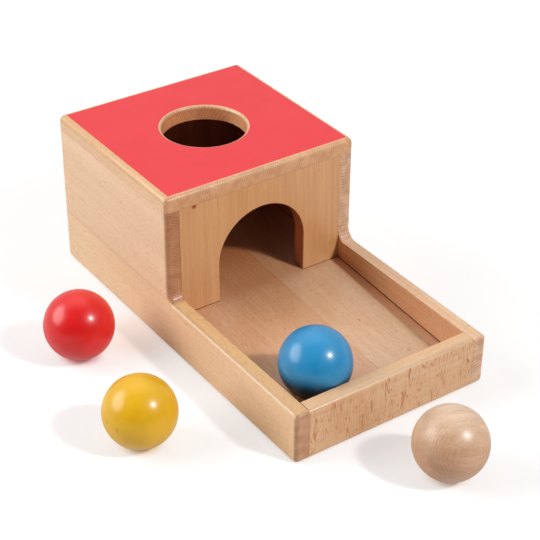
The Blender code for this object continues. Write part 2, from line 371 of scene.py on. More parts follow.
def ball_piece(name, node, pole):
    """A turned ball: a true sphere with a hair's breadth of flat left at each pole of the lathe."""
    low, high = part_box(node)
    radius = (high.z - low.z) / 2
    bm = bmesh.new()
    bmesh.ops.create_uvsphere(bm, u_segments=BALL_STEPS, v_segments=BALL_STEPS // 2, radius=radius)
    limit = radius * math.cos(LATHE_FLAT)
    for vert in bm.verts:
        vert.co.z = max(-limit, min(limit, vert.co.z))
    turn = Vector((0, 0, 1)).rotation_difference(Vector(pole).normalized()).to_matrix().to_4x4()
    bmesh.ops.transform(bm, matrix=turn, verts=bm.verts)
    piece = new_piece(name, bm)
    piece.matrix_world = Matrix.Translation((low + high) / 2)
    piece.data.shade_smooth()
    return piece


# Materials: steps of a node tree

def node(tree, kind, inputs=None, **settings):
    made = tree.nodes.new("ShaderNode" + kind)
    for name, value in settings.items():
        setattr(made, name, value)
    for key, value in (inputs or {}).items():
        if isinstance(value, bpy.types.NodeSocket):
            tree.links.new(value, made.inputs[key])
        else:
            made.inputs[key].default_value = value
    return made


def maths(tree, operation, a, b=0.0, c=0.0):
    return node(tree, "Math", {0: a, 1: b, 2: c}, operation=operation).outputs[0]


def plus(tree, a, b):
    return maths(tree, "ADD", a, b)


def times(tree, a, b):
    return maths(tree, "MULTIPLY", a, b)


def vector(tree, x, y, z):
    return node(tree, "CombineXYZ", {0: x, 1: y, 2: z}).outputs[0]


def vector_maths(tree, operation, a, b=(0.0, 0.0, 0.0)):
    made = node(tree, "VectorMath", {0: a, 1: b}, operation=operation)
    return made.outputs["Value" if operation in ("LENGTH", "DOT_PRODUCT") else "Vector"]


def scaled(tree, source, factors):
    return vector_maths(tree, "MULTIPLY", source, factors)


def split(tree, source):
    """The X, Y and Z of a vector."""
    return dict(zip("XYZ", node(tree, "SeparateXYZ", {0: source}).outputs))


def in_axes(tree, source, axes):
    """A vector in turned axes."""
    return vector(tree, *(vector_maths(tree, "DOT_PRODUCT", source, axis) for axis in axes))


def noise(tree, source, detail=2.0, roughness=0.5):
    inputs = {"Vector": source, "Scale": 1.0, "Detail": detail, "Roughness": roughness}
    return node(tree, "TexNoise", inputs).outputs["Fac"]


def wander(tree, source, factors, reach):
    """A vector that drifts about nought, up to half of reach."""
    inputs = {"Vector": scaled(tree, source, factors), "Scale": 1.0, "Detail": 2.0, "Roughness": 0.5}
    drift = node(tree, "TexNoise", inputs).outputs["Color"]
    return scaled(tree, vector_maths(tree, "SUBTRACT", drift, (0.5, 0.5, 0.5)), reach)


def span(tree, value, low, high, to_low=0.0, to_high=1.0):
    """value, from low to high, as a smooth step between two others."""
    inputs = {"Value": value, "From Min": low, "From Max": high, "To Min": to_low, "To Max": to_high}
    return node(tree, "MapRange", inputs, interpolation_type="SMOOTHSTEP").outputs[0]


def between(tree, share, a, b):
    """A number between two others."""
    return node(tree, "Mix", {0: share, 2: a, 3: b}).outputs[0]


def mix(tree, share, a, b, blend="MIX"):
    """A colour between two others."""
    made = node(tree, "Mix", {0: share, 6: a, 7: b}, data_type="RGBA", blend_type=blend)
    return made.outputs[2]


def tinted(tree, share, colour, tint):
    """A colour that is multiplied by a tint where share is 1."""
    return mix(tree, share, colour, mix(tree, 1.0, colour, (*tint, 1.0), "MULTIPLY"))


def linear(red, green, blue):
    """A colour as a screen shows it, 0 to 255, as the light it stands for."""
    def one(value):
        value /= 255
        return value / 12.92 if value <= 0.04045 else ((value + 0.055) / 1.055) ** 2.4
    return (one(red), one(green), one(blue), 1.0)


def new_material(name):
    made = bpy.data.materials.new(name)
    made.use_nodes = True
    return made, made.node_tree, made.node_tree.nodes["Principled BSDF"]


# Materials: parts of a surface

SHARP = 0.0001  # half the width of a change that looks sharp


def facing(axis, way):
    """Test for area: the surface looks along an axis, one way or the other."""
    return "facing", axis, way, None


def past(axis, place, soft=SHARP):
    """Test for area: it lies past a place on an axis; soft is half the width of the change."""
    return "past", axis, place, soft


def before(axis, place, soft=SHARP):
    """Test for area: it lies before a place on an axis."""
    return "before", axis, place, soft


def area(tree, axes, normal, tests):
    """1 where all tests hold, else 0."""
    share = None
    for kind, axis, place, soft in tests:
        if kind == "facing":
            where = span(tree, times(tree, normal[axis], place), 0.45, 0.85)
        elif kind == "past":
            where = span(tree, axes[axis], place - soft, place + soft)
        else:
            where = span(tree, axes[axis], place + soft, place - soft)
        share = where if share is None else times(tree, share, where)
    return share


def spot(tree, coordinates, place, radius, stretch=(1.0, 1.0, 1.0)):
    """1 at a place, falling to 0 at a radius; stretch shortens the reach along an axis."""
    away = scaled(tree, vector_maths(tree, "SUBTRACT", coordinates, place), stretch)
    return span(tree, vector_maths(tree, "LENGTH", away), radius, 0.3 * radius)


def painted_field(tree, axes, normal, field):
    """1 on the upper face inside a rectangle and outside a circle."""
    (left, right, front, back), (hole_x, hole_y, hole_radius) = field
    edge = 0.00012
    share = span(tree, normal["Z"], 0.30, 0.34)
    for axis, low, high in (("X", left, right), ("Y", front, back)):
        share = times(tree, share, span(tree, axes[axis], low - edge, low + edge))
        share = times(tree, share, span(tree, axes[axis], high + edge, high - edge))
    away = vector(
        tree, maths(tree, "SUBTRACT", axes["X"], hole_x), maths(tree, "SUBTRACT", axes["Y"], hole_y), 0.0
    )
    away = vector_maths(tree, "LENGTH", away)
    return times(tree, share, span(tree, away, hole_radius - edge, hole_radius + edge))


# Materials: beech

# How often a feature repeats, per metre along the grain, radially and across
SWAY_SCALE = (7, 22, 22)
TONE_SCALE = (9, 30, 30)
STREAK_SCALE = (5, 190, 190)
THREAD_SCALE = (14, 480, 480)
FIBRE_SCALE = (16, 900, 900)
DASH_SCALE = (330, 1500, 1500)
PORE_SCALE = (170, 2600, 2600)
RAY_WAVE_SCALE = (45, 80, 80)
RAY_SCALE = (240, 26, 26)
RAY_DRIFT_SCALE = (150, 75, 75)
RING_STRETCH = 0.03  # growth rings along the grain

SWAY_REACH = (0.0, 0.0045, 0.0045)
RAY_WAVE_REACH = (0.005, 0.0, 0.0)
SEED_STEP = 0.371  # how far along the log one piece lies from the next

LATE_WOOD = linear(150, 92, 56)
DASH_COLOUR = linear(174, 92, 44)
RAY_COLOUR = linear(182, 94, 48)
PORE_COLOUR = linear(150, 84, 44)
END_PATCH = linear(160, 100, 68)
GLUE_COLOUR = linear(140, 88, 55)
FIELD_RED = linear(227, 55, 63)
FIELD_RED_WORN = linear(224, 51, 59)
BUMP_DISTANCE = 0.0003
LACQUER_IOR = 1.48


def wood_axes(grain, radial):
    """Across, along the grain and radial: the directions of a piece whose wood lies askew."""
    radial = Vector(radial).normalized()
    across = Vector(grain).cross(radial).normalized()
    return across, radial.cross(across), radial


def own_normal(tree, askew):
    """The direction of the surface in the axes of the piece."""
    normal = node(tree, "NewGeometry").outputs["Normal"]
    normal = node(
        tree, "VectorTransform", {0: normal}, vector_type="NORMAL", convert_from="WORLD", convert_to="OBJECT"
    ).outputs[0]
    if askew:
        normal = in_axes(tree, normal, askew)
    return split(tree, normal)


def growth_rings(tree, bent, axes, pith, joints, gap):
    """The dark side of each ring around the heart of the tree, which shifts at every glue line."""
    heart = vector_maths(tree, "ADD", bent, (0.0, *pith))
    for axis, place, shift in joints:
        next_strip = times(tree, area(tree, axes, None, (past(axis, place),)), shift)
        heart = vector_maths(tree, "ADD", heart, vector(tree, 0.0, 0.0, next_strip))
    rings = node(
        tree, "TexWave",
        {"Vector": scaled(tree, heart, (RING_STRETCH, 1.0, 1.0)), "Scale": 2 * math.pi / (20 * gap),
         "Distortion": 4.0, "Detail": 1.0, "Detail Scale": 0.6},
        wave_type="RINGS", rings_direction="X", wave_profile="SAW",
    ).outputs["Fac"]
    return times(tree, span(tree, rings, 0.30, 0.90), span(tree, rings, 1.0, 0.92))


def ray_strokes(tree, point):
    """Rays cut along their length: thin wavy strokes and loops that stand across the grain, in drifts."""
    bent = vector_maths(tree, "ADD", point, wander(tree, point, RAY_WAVE_SCALE, RAY_WAVE_REACH))
    rise = noise(tree, scaled(tree, bent, RAY_SCALE), detail=1, roughness=0.25)
    line = maths(tree, "PINGPONG", rise, 0.055)
    line = span(tree, line, 0.017, 0.003)
    drifts = noise(tree, scaled(tree, point, RAY_DRIFT_SCALE))
    return times(tree, line, span(tree, drifts, 0.33, 0.57))


def beech(
    name, grain, radial, pith, seed, light, deep,
    dash=0.25, band=0.0, ring=0.10, ring_gap=0.0022, thread=0.03,
    end=(0.80, 0.72, 0.66), end_ring=0.14, end_coat=0.4, patch=0.12,
    rough=0.36, coat=0.5, coat_rough=0.14,
    joints=(), tints=(), marks=(), field=None, askew=None,
):
    """Solid beech, lacquered. grain and radial are axes of the toy; pith is how far the heart of the tree
    lies from the piece, along the radial axis and across it; light and deep are its colours.
    dash and band are the strength of the rays, cut across and cut along, ring and thread that of the
    growth rings and of fine threads. end, end_ring, end_coat and patch are for end grain: tint, rings,
    share of the lacquer, and blotches.
    joints are glue lines: an axis, a place, and how far the heart shifts from one strip to the next.
    tints multiply the colour of an area. marks are knots, specks and clouds: place, radius, stretch,
    strength and colour. field is a painted rectangle around a hole. askew are the directions of wood that
    doesn't lie along the axes of the toy."""
    made, tree, shader = new_material(name)
    coordinates = node(tree, "TexCoord").outputs["Object"]
    if askew:
        coordinates = in_axes(tree, coordinates, askew)
    axes = split(tree, coordinates)
    across = next(axis for axis in "XYZ" if axis not in grain + radial)
    along = plus(tree, axes[grain], seed * SEED_STEP)
    point = vector(tree, along, axes[radial], axes[across])
    bent = vector_maths(tree, "ADD", point, wander(tree, point, SWAY_SCALE, SWAY_REACH))

    late = growth_rings(tree, bent, axes, pith, joints, ring_gap)
    fibre = noise(tree, scaled(tree, bent, FIBRE_SCALE), detail=3, roughness=0.6)
    streak = noise(tree, scaled(tree, bent, STREAK_SCALE))
    tone = noise(tree, scaled(tree, bent, TONE_SCALE))
    dashes = span(tree, noise(tree, scaled(tree, bent, DASH_SCALE), detail=1), 0.54, 0.76)
    pores = noise(tree, scaled(tree, bent, PORE_SCALE), detail=1)
    threads = noise(tree, scaled(tree, bent, THREAD_SCALE), detail=1)

    # How far the surface cuts across the grain
    normal = own_normal(tree, askew)
    ends = span(tree, maths(tree, "ABSOLUTE", normal[grain]), 0.20, 0.65)
    sides = maths(tree, "SUBTRACT", 1.0, ends)

    # Colour, and height for the bump
    body = maths(tree, "MULTIPLY_ADD", fibre, 0.45, times(tree, streak, 0.55))
    body = plus(tree, body, maths(tree, "MULTIPLY_ADD", tone, 0.9, -0.45))
    colour = mix(tree, span(tree, body, 0.30, 0.72), light, deep)
    dark, pale = (tuple(1.0 + way * thread * share for share in (0.6, 1.0, 1.4)) for way in (-1, 1))
    threads = mix(tree, span(tree, threads, 0.35, 0.65), (*dark, 1.0), (*pale, 1.0))
    colour = mix(tree, 1.0, colour, threads, "MULTIPLY")
    ring_share = times(tree, span(tree, streak, 0.30, 0.62), ring)
    end_share = times(tree, span(tree, streak, 0.30, 0.60, 0.45, 1.0), end_ring)
    ring_share = between(tree, ends, ring_share, end_share)
    colour = mix(tree, times(tree, late, ring_share), colour, LATE_WOOD)
    colour = mix(tree, times(tree, times(tree, dashes, sides), dash), colour, DASH_COLOUR)
    height = maths(tree, "MULTIPLY_ADD", fibre, 0.6, times(tree, late, -0.25))
    if band:
        cut_along = span(tree, maths(tree, "ABSOLUTE", normal[across]), 0.5, 0.9)
        strokes = times(tree, ray_strokes(tree, point), cut_along)
        colour = mix(tree, times(tree, strokes, band), colour, RAY_COLOUR)
        height = plus(tree, height, times(tree, strokes, -0.2))
    colour = mix(tree, times(tree, span(tree, pores, 0.60, 0.75), 0.10), colour, PORE_COLOUR)
    patches = times(tree, ends, span(tree, streak, 0.42, 0.66, 0.0, patch))
    colour = mix(tree, patches, colour, END_PATCH)
    colour = tinted(tree, ends, colour, end)
    for tests, tint in tints:
        colour = tinted(tree, area(tree, axes, normal, tests), colour, tint)
    for axis, place, _ in joints:
        away = maths(tree, "ABSOLUTE", maths(tree, "SUBTRACT", axes[axis], place))
        line = span(tree, away, 0.0005, 0.0001)
        colour = mix(tree, times(tree, line, 0.22), colour, GLUE_COLOUR)
    for place, radius, stretch, strength, shade in marks:
        where = spot(tree, coordinates, place, radius, stretch)
        colour = mix(tree, times(tree, where, strength), colour, linear(*shade))

    gloss = maths(tree, "MULTIPLY_ADD", tone, 0.10, rough - 0.05)
    gloss = plus(tree, gloss, times(tree, ends, 0.08))
    gloss = plus(tree, gloss, times(tree, fibre, 0.06))
    if field:
        covered = painted_field(tree, axes, normal, field)
        mottle = noise(tree, scaled(tree, coordinates, (60, 60, 60)), detail=3)
        red = mix(tree, span(tree, mottle, 0.30, 0.75), FIELD_RED, FIELD_RED_WORN)
        colour = mix(tree, covered, colour, red)
        skin = noise(tree, scaled(tree, coordinates, (900, 900, 900)))
        height = between(tree, covered, height, times(tree, skin, 0.5))
        gloss = between(tree, covered, gloss, 0.45)
    bump = node(tree, "Bump", {"Strength": 0.10, "Distance": BUMP_DISTANCE, "Height": height})
    tree.links.new(colour, shader.inputs["Base Color"])
    tree.links.new(gloss, shader.inputs["Roughness"])
    tree.links.new(bump.outputs[0], shader.inputs["Normal"])
    shader.inputs["IOR"].default_value = LACQUER_IOR
    shader.inputs["Coat Weight"].default_value = coat
    shader.inputs["Coat Roughness"].default_value = coat_rough
    if end_coat < 1.0:
        lacquer = maths(tree, "MULTIPLY_ADD", ends, (end_coat - 1.0) * coat, coat)
        if field:
            lacquer = times(tree, lacquer, maths(tree, "SUBTRACT", 1.0, covered))
        tree.links.new(lacquer, shader.inputs["Coat Weight"])
    return made


# Materials: paint

PIT_COLOUR = (0.02, 0.012, 0.008, 1.0)
DENT_COLOUR = linear(196, 112, 6)
PAINT_IOR = 1.42


def paint(name, base, worn, marks=(), reach=0.008, deepest=0.40, clear=0.60):
    """Dipped paint: a little mottled, with a soft waviness and a few pits. marks are dents in it. Painted
    contact shade: it darkens to deepest where things within reach hide it, and not where it is clear of
    them."""
    made, tree, shader = new_material(name)
    point = node(tree, "TexCoord").outputs["Object"]
    mottle = noise(tree, scaled(tree, point, (60, 60, 60)), detail=3)
    skin = noise(tree, scaled(tree, point, (350, 350, 350)))
    pits = node(tree, "TexVoronoi", {"Vector": point, "Scale": 85.0}).outputs["Distance"]
    pits = span(tree, pits, 0.06, 0.02)
    colour = mix(tree, span(tree, mottle, 0.30, 0.75), base, worn)
    colour = mix(tree, times(tree, pits, 0.25), colour, PIT_COLOUR)
    height = maths(tree, "MULTIPLY_ADD", skin, 0.5, times(tree, pits, -1.0))
    for place, radius, stretch in marks:
        dent = spot(tree, point, place, radius, stretch)
        colour = mix(tree, times(tree, dent, 0.45), colour, DENT_COLOUR)
        height = maths(tree, "SUBTRACT", height, times(tree, dent, 0.3))
    # Painted contact shade: the colour darkens where other things come close.
    close = node(tree, "AmbientOcclusion", {"Distance": reach}, samples=8).outputs["AO"]
    colour = mix(tree, 1.0, colour, span(tree, close, 0.05, clear, deepest, 1.0), "MULTIPLY")
    bump = node(tree, "Bump", {"Strength": 0.08, "Distance": BUMP_DISTANCE, "Height": height})
    tree.links.new(colour, shader.inputs["Base Color"])
    tree.links.new(maths(tree, "MULTIPLY_ADD", mottle, 0.10, 0.30), shader.inputs["Roughness"])
    tree.links.new(bump.outputs[0], shader.inputs["Normal"])
    shader.inputs["IOR"].default_value = PAINT_IOR
    shader.inputs["Coat Weight"].default_value = 0.34
    shader.inputs["Coat Roughness"].default_value = 0.18
    return made


# Places on the toy that the materials tell apart

SLACK = 0.0006
STRIP = 0.037  # height of the glue line in the sides
FLOOR_JOINT = 0.0127  # place of the glue line in the floor
ROUND_REACH = 0.0026  # how far the round of an edge shows from above
ROUND_SOFT = 0.0012
GROOVE_SOFT = 0.0002
HOLE_Y = (TOP_LOW.y + TOP_HIGH.y) / 2
INSIDE_BOX = (
    past("X", ARCH_LOW.x - SLACK), before("X", ARCH_HIGH.x + SLACK), past("Y", ARCH_HIGH.y - SLACK),
    before("Y", BACK_LOW.y + SLACK), before("Z", TOP_LOW.z + SLACK),
)
BORE = (
    past("X", -HOLE_RADIUS - SLACK), before("X", HOLE_RADIUS + SLACK),
    past("Y", HOLE_Y - HOLE_RADIUS - SLACK), before("Y", HOLE_Y + HOLE_RADIUS + SLACK),
    before("Z", TOP_HIGH.z - HOLE_ROUND, SLACK),
)
TOP_LEFT_ROUND = (past("Z", TOP_HIGH.z - TOP_ROUND, 0.0008), before("X", TOP_LOW.x + TOP_ROUND, 0.0008))
# Where the painted shade on the rounds of the outer top edges lies.
SIDE_ROUND = (facing("Z", 1), before("X", SIDE_LOW.x + ROUND_REACH, ROUND_SOFT))
WALL_ROUND = (facing("Z", 1), before("Y", WALL_LOW.y + ROUND_REACH, ROUND_SOFT))
UNDER_ARCH = (past("Y", ARCH_LOW.y - GROOVE_SOFT, GROOVE_SOFT), before("Y", ARCH_HIGH.y))
IN_TRAY = before("Y", ARCH_LOW.y)
TRAY_FRONT = before("Y", 0.05, 0.02)

# Colours that the pieces share
LIGHT = linear(228, 188, 148)
DEEP = linear(212, 166, 122)
SPECK = (108, 52, 26)
# Painted shade: every surface inside the closed box is darkened, as little light reaches it.
INSIDE_PAINTED_SHADE = (INSIDE_BOX, (0.52, 0.28, 0.25))
# Painted shade in the crevices where the floor meets the tray's walls and the feet of the arch panel.
CREVICE_PAINTED_SHADE = (0.42, 0.30, 0.24)
# Painted shade that dims the upper part of the rounds on the outer top edges.
ROUND_PAINTED_SHADE = (0.81, 0.83, 0.87)
EVENLY = (1.0, 1.0, 1.0)

SIDE_WOOD = beech(
    "beech side", "Y", "Z", (0.082, 0.005), 1.0, linear(236, 196, 153), linear(230, 188, 143),
    dash=0.36, ring=0.03, ring_gap=0.0018, thread=0.015,
    end=(0.73, 0.605, 0.585), end_ring=0.26, patch=0.24,
    joints=(("Z", STRIP, 0.146),),
    tints=(
        ((past("Z", STRIP),), (0.99, 1.01, 1.08)),
        ((facing("Z", 1),), (0.78, 0.72, 0.57)),
        (SIDE_ROUND, ROUND_PAINTED_SHADE),
        ((before("Z", STRIP), past("Y", 0.20, 0.05), facing("X", -1)), (1.06, 1.10, 1.13)),
        ((facing("Y", -1), past("Z", STRIP)), (0.92, 0.80, 0.70)),
        # Painted shade: the front end faces darker towards the top, under the top board.
        ((facing("Y", -1), past("Z", 0.072, 0.02)), (0.93, 0.87, 0.82)),
        INSIDE_PAINTED_SHADE,
    ),
    marks=(((-0.0713, 0.1287, 0.0437), 0.0012, EVENLY, 0.9, SPECK),),
)
SIDE_WOOD_RIGHT = beech(
    "beech right side", "Y", "Z", (0.122, -0.0945), 2.0, LIGHT, DEEP,
    dash=0.45, ring=0.06, ring_gap=0.0021, thread=0.05,
    end=(0.98, 0.98, 1.14), end_ring=0.38, patch=0.16,
    joints=(("Z", STRIP, 0.03),),
    tints=(
        # Painted bounce light: the inner face, in shade, redder as if lit by light off the wood.
        ((facing("X", -1),), (1.08, 0.92, 0.83)),
        # Painted sheen: the upward faces paler and cooler.
        ((facing("Z", 1),), (1.0, 1.04, 1.12)),
        INSIDE_PAINTED_SHADE,
    ),
)
WALL_WOOD = beech(
    "beech front wall", "X", "Z", (0.12, 0.02), 3.0, linear(226, 183, 142), linear(218, 172, 129),
    band=0.78, ring=0.0,
    tints=(
        # Painted sheen: the upward faces paler and cooler.
        ((facing("Z", 1),), (1.0, 1.06, 1.10)),
        (WALL_ROUND, ROUND_PAINTED_SHADE),
    ),
)
ARCH_WOOD = beech(
    "beech arch panel", "Z", "X", (0.20, 0.05), 4.0, linear(217, 163, 113), linear(211, 155, 104),
    dash=0.15, ring=0.16, ring_gap=0.0009, thread=0.05,
    tints=(
        # Painted shade: the jambs and the back face of the arch panel, behind its front face, deep
        # red-brown.
        ((past("Y", ARCH_LOW.y + SLACK),), (0.80, 0.44, 0.34)),
        INSIDE_PAINTED_SHADE,
    ),
    marks=(
        ((-0.0503, 0.1328, 0.0986), 0.0036, (1.0, 1.0, 1.3), 0.60, (198, 112, 62)),
        ((-0.0505, 0.1328, 0.0984), 0.0020, EVENLY, 0.95, (142, 52, 22)),
    ),
)
BACK_WOOD = beech(
    "beech back panel", "Z", "X", (0.16, 0.05), 5.0, LIGHT, DEEP, tints=(INSIDE_PAINTED_SHADE,),
)
FLOOR_WOOD = beech(
    "beech floor", "Y", "X", (0.15, 0.05), 6.0, linear(214, 169, 132), linear(207, 159, 121),
    dash=0.42, ring=0.06, thread=0.04,
    joints=(("X", FLOOR_JOINT, 0.05),),
    tints=(
        ((past("X", FLOOR_JOINT),), (0.95, 1.04, 1.09)),
        # Painted bounce light: the strip by the right wall, in its shade, redder.
        ((past("X", 0.056, 0.004),), (1.36, 1.09, 1.0)),
        # Painted light: the middle of the right strip lighter, to even out how the light falls off towards
        # the box.
        ((past("X", FLOOR_JOINT), before("X", 0.036, 0.010), past("Y", 0.05, 0.03)), (1.10, 1.08, 1.08)),
        # Painted shade: the left strip darker towards the arch.
        ((before("X", FLOOR_JOINT), past("Y", 0.095, 0.035)), (0.95, 0.86, 0.77)),
        # Painted shade: darker in the right wall's shadow.
        ((past("X", 0.044, 0.008), before("X", 0.056, 0.004)), (0.94, 0.97, 0.98)),
        # Painted shade along the feet of the tray's walls.
        ((past("X", RIGHT_LOW.x, GROOVE_SOFT), IN_TRAY), CREVICE_PAINTED_SHADE),
        ((before("X", SIDE_HIGH.x, GROOVE_SOFT), IN_TRAY), CREVICE_PAINTED_SHADE),
        # Painted shade: the floor darker near the front wall, whose shadow falls there.
        ((past("X", FLOOR_JOINT), TRAY_FRONT), (0.89, 0.91, 0.93)),
        ((past("X", -0.012, 0.006), before("X", FLOOR_JOINT), TRAY_FRONT), (0.82, 0.79, 0.81)),
        # Painted shade under the feet of the arch panel.
        (UNDER_ARCH + (past("X", ARCH_HALF),), CREVICE_PAINTED_SHADE),
        (UNDER_ARCH + (before("X", -ARCH_HALF),), CREVICE_PAINTED_SHADE),
        # Painted shade: the floor darker and redder under the arch and inside the box.
        ((past("Y", 0.131, 0.008),), (0.85, 0.71, 0.62)),
        ((past("Y", 0.160, 0.020),), (0.75, 0.60, 0.50)),
    ),
    marks=(
        ((0.0317, 0.070, 0.0177), 0.0014, (2.2, 0.45, 1.0), 0.70, SPECK),
        ((0.0400, 0.0297, 0.0151), 0.0012, (1.0, 0.5, 1.0), 0.50, SPECK),
    ),
)
TOP_WOOD = beech(
    "painted beech top", "Y", "X", (0.16, -0.18), 7.0, linear(229, 186, 143), linear(221, 176, 131),
    dash=0.35, ring=0.06, ring_gap=0.0017,
    end=(0.92, 0.81, 0.76), end_ring=0.34,
    tints=(
        # Painted shade: the underside, inside the box, dark.
        ((facing("Z", -1),), (0.45, 0.23, 0.19)),
        (BORE, (1.02, 0.80, 0.70)),
        (TOP_LEFT_ROUND, (0.93, 0.91, 0.80)),
    ),
    field=(
        (TOP_LOW.x + 0.0042, TOP_HIGH.x - 0.0037, TOP_LOW.y + 0.0031, TOP_HIGH.y - 0.0041),
        (0.0, HOLE_Y, HOLE_RADIUS + HOLE_ROUND - 0.0003),
    ),
)
DOWEL_WOOD = beech("beech dowel", "X", "Y", (0.02, 0.01), 8.0, LIGHT, DEEP, rough=0.6)
TOP_DOWEL_WOOD = beech("beech upright dowel", "Z", "Y", (0.02, 0.01), 9.0, LIGHT, DEEP, rough=0.6)
BALL_WOOD = beech(
    "beech ball", "Y", "Z", (0.09, 0.01), 10.0, linear(214, 177, 145), linear(197, 154, 120),
    dash=0.3, ring=0.05, ring_gap=0.0014, thread=0.0,
    end=(0.97, 0.93, 0.90), end_ring=0.20, end_coat=1.0, patch=0.0,
    coat=0.44, coat_rough=0.34,
    askew=wood_axes((0.82, -0.57, 0.0), (-0.16, -0.90, 0.39)),
    tints=(
        # Painted light and shade: in these axes X runs mostly downwards, so the top of the ball is paler and
        # cooler, and its middle and lower half darker.
        ((past("X", 0.004, 0.016),), (1.0, 0.93, 0.90)),
        ((before("X", -0.010, 0.012),), (1.16, 1.38, 1.62)),
        ((past("X", -0.006, 0.006), before("X", 0.010, 0.008)), (0.95, 0.93, 0.90)),
    ),
    marks=(((0.010, -0.014, 0.012), 0.018, EVENLY, 0.17, (150, 84, 58)),),
)
RED_GLOSS = paint("red gloss paint", linear(222, 20, 22), linear(215, 16, 18))
YELLOW_GLOSS = paint(
    "yellow gloss paint", linear(230, 177, 14), linear(224, 168, 8),
    marks=(
        ((-0.0223, -0.0011, 0.0031), 0.0012, (1.0, 1.0, 0.6)),
        ((-0.0205, -0.0091, 0.0014), 0.0012, (1.0, 1.0, 0.5)),
    ),
)
# Its painted contact shade reaches further and goes darker, under the tray's front wall.
BLUE_GLOSS = paint(
    "blue gloss paint", linear(38, 142, 196), linear(28, 132, 187), reach=0.030, deepest=0.05, clear=0.90
)


# The toy

def dress(piece, node_name, body, slot, material):
    piece.data.materials.clear()
    piece.data.materials.append(material)
    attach(piece, body)
    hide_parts(node_name)


GROOVE = swept(
    "floor_groove", floor_outline(GROOVE_FIT), FLOOR_LOW.x - GROOVE_FIT, FLOOR_HIGH.x + GROOVE_FIT
)
DOWEL_HOLES = dowel_hole_cutter()
CUTTERS = [GROOVE, DOWEL_HOLES]

BOARDS = [
    (side_piece("side_panel_left_visual", SIDE_LOW.x, SIDE_HIGH.x, SIDE_LOW.x), "side_panel_left",
     "lacquered_beech", SIDE_WOOD),
    (side_piece("side_panel_right_visual", RIGHT_LOW.x, RIGHT_HIGH.x, RIGHT_HIGH.x), "side_panel_right",
     "lacquered_beech", SIDE_WOOD_RIGHT),
    (wall_piece(), "tray_front_wall", "lacquered_beech", WALL_WOOD),
    (arch_piece(CUTTERS), "arch_panel", "lacquered_beech", ARCH_WOOD),
    (back_piece(), "back_panel", "lacquered_beech", BACK_WOOD),
    (floor_piece(), "floor_board", "lacquered_beech", FLOOR_WOOD),
    (top_piece(CUTTERS), "top_board", "red_painted_beech", TOP_WOOD),
]
for piece, node_name, *_ in BOARDS:
    if node_name.startswith("side_panel"):
        cut(piece, GROOVE)
    if node_name != "floor_board":
        cut(piece, DOWEL_HOLES)
bpy.context.view_layer.update()
for piece, node_name, slot_name, material in BOARDS:
    dress(piece, node_name, BOX, slot_name, material)
    settle(piece)
for cutter in CUTTERS:
    bpy.data.objects.remove(cutter, do_unlink=True)

# Node, body, slot, pole of the lathe, material
BALLS = [
    ("blue_ball", "ball_blue", "blue_gloss_paint", (0.5, 0.6, 0.6), BLUE_GLOSS),
    ("red_ball", "ball_red", "red_gloss_paint", (0.7, 0.3, 0.65), RED_GLOSS),
    ("yellow_ball", "ball_yellow", "yellow_gloss_paint", (0.2, 0.8, 0.55), YELLOW_GLOSS),
    ("natural_ball", "ball_natural", "natural_ball_beech", (-0.22, -0.32, -0.83), BALL_WOOD),
]
for node_name, body, slot_name, pole, material in BALLS:
    piece = ball_piece(node_name + "_visual", node_name, pole)
    dress(piece, node_name, body, slot_name, material)

for name, cad in frame["nodes"].items():
    if "_dowel_" in name:
        cad.data.materials.clear()
        cad.data.materials.append(TOP_DOWEL_WOOD if name.startswith("top") else DOWEL_WOOD)


# Studio

FLOOR_HALF = 6.0
FLOOR_DROP = 0.0003  # keeps the floor out of the plane that the toy stands on
FLOOR_GREY = (0.70, 0.70, 0.70, 1.0)  # as the toy sees it
CONTACT_REACH = 0.010
CONTACT_SHADE = (0.90, 0.90, 0.90, 1.0)
OPEN_SHADE = (0.47, 0.485, 0.504, 1.0)
GLOW_COLOUR = (1.0, 0.97, 0.955, 1.0)
WHITE = (1.0, 1.0, 1.0, 1.0)
# Painted bounce light near contacts: warm from the wood, red and yellow under those balls.
WOOD_PAINTED_BOUNCE = (1.0, 0.84, 0.71, 1.0)
BALL_PAINTED_BOUNCES = (("red_ball", (1.0, 0.17, 0.18, 1.0)), ("yellow_ball", (1.15, 0.72, 0.26, 1.0)))
BALL_PAINTED_BOUNCE_REACH = 0.040
# A painted shadow on the floor beside the toy's left side.
SIDE_PAINTED_SHADOW = (0.95, 0.85, 0.79, 1.0)
SIDE_PAINTED_SHADOW_PLACE = (SIDE_LOW.x - 0.008, 0.158, 0.0)
SIDE_PAINTED_SHADOW_REACH = 0.034


def seen_directly(tree, path):
    """1 for what the camera sees, through glass too."""
    return maths(tree, "MAXIMUM", path["Is Camera Ray"], path["Is Transmission Ray"])


